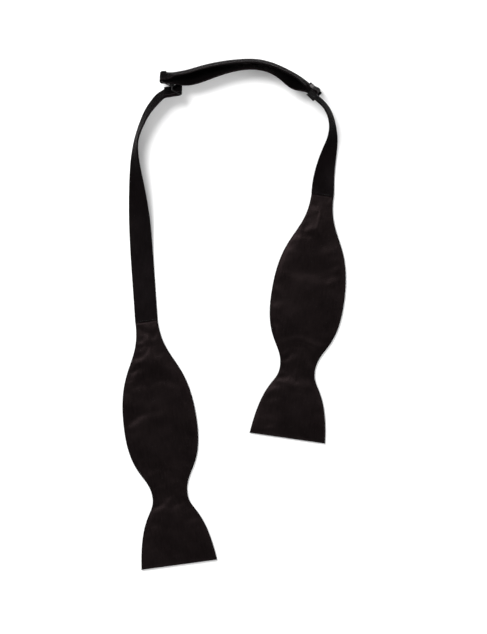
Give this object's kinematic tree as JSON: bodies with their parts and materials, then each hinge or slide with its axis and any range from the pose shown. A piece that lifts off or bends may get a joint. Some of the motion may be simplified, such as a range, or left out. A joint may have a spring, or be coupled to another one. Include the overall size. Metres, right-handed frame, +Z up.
{
  "type": "self-tie bow tie",
  "caption": "Untied self-tie bow tie with butterfly blades and an adjustable neckband joined by a hook, an eye and a slider.",
  "frame": {"origin": "on the surface that the tie lies on, under the middle of its outline", "axes": "+Y from the blade ends towards the top of the neckband loop, +Z up from the surface, +X to the right of someone looking along +Y"},
  "size_m": [0.1877, 0.4296, 0.024],
  "materials": {
    "blade_satin": "black satin",
    "strap_satin": "black satin",
    "interlining": "brushed wool interlining",
    "thread": "black sewing thread",
    "hook_metal": "black enamel",
    "eye_metal": "black enamel",
    "slider_metal": "black enamel"
  },
  "bodies": {
    "right_half": {"right_blade_front": "blade_satin", "right_blade_back": "blade_satin", "right_blade_interlining": "interlining", "right_blade_seam_thread": "thread", "right_join_seam_thread": "thread", "right_strap": "strap_satin", "right_strap_interlining": "interlining"},
    "slider": {"slider": "slider_metal", "right_strap_sewn_end": "strap_satin", "slider_bar_tack": "thread"},
    "hook": {"hook": "hook_metal"},
    "eye": {"eye": "eye_metal"},
    "left_half": {"left_blade_front": "blade_satin", "left_blade_back": "blade_satin", "left_blade_interlining": "interlining", "left_blade_seam_thread": "thread", "left_join_seam_thread": "thread", "left_strap": "strap_satin", "left_strap_interlining": "interlining", "left_tab_bar_tack": "thread"}
  },
  "joints": [
    {"name": "slider_travel", "type": "slide", "parent": "right_half", "child": "slider", "axis": [0.7157, -0.6984, 0], "range_m": [0, 0.008]},
    {"name": "hook_swing", "type": "hinge", "parent": "right_half", "child": "hook", "pos_m": [-0.06, 0.1978, 0.0122], "axis": [0, 0.3907, -0.9205], "range_deg": [0, 120]},
    {"name": "unhook", "type": "slide", "parent": "hook", "child": "eye", "axis": [-0.8829, 0.4322, 0.1834], "range_m": [0, 0.0017]},
    {"name": "eye_swing", "type": "hinge", "parent": "eye", "child": "left_half", "pos_m": [-0.04574, 0.1876, 0.0122], "axis": [0, -0.3907, 0.9205], "range_deg": [0, 6]}
  ]
}
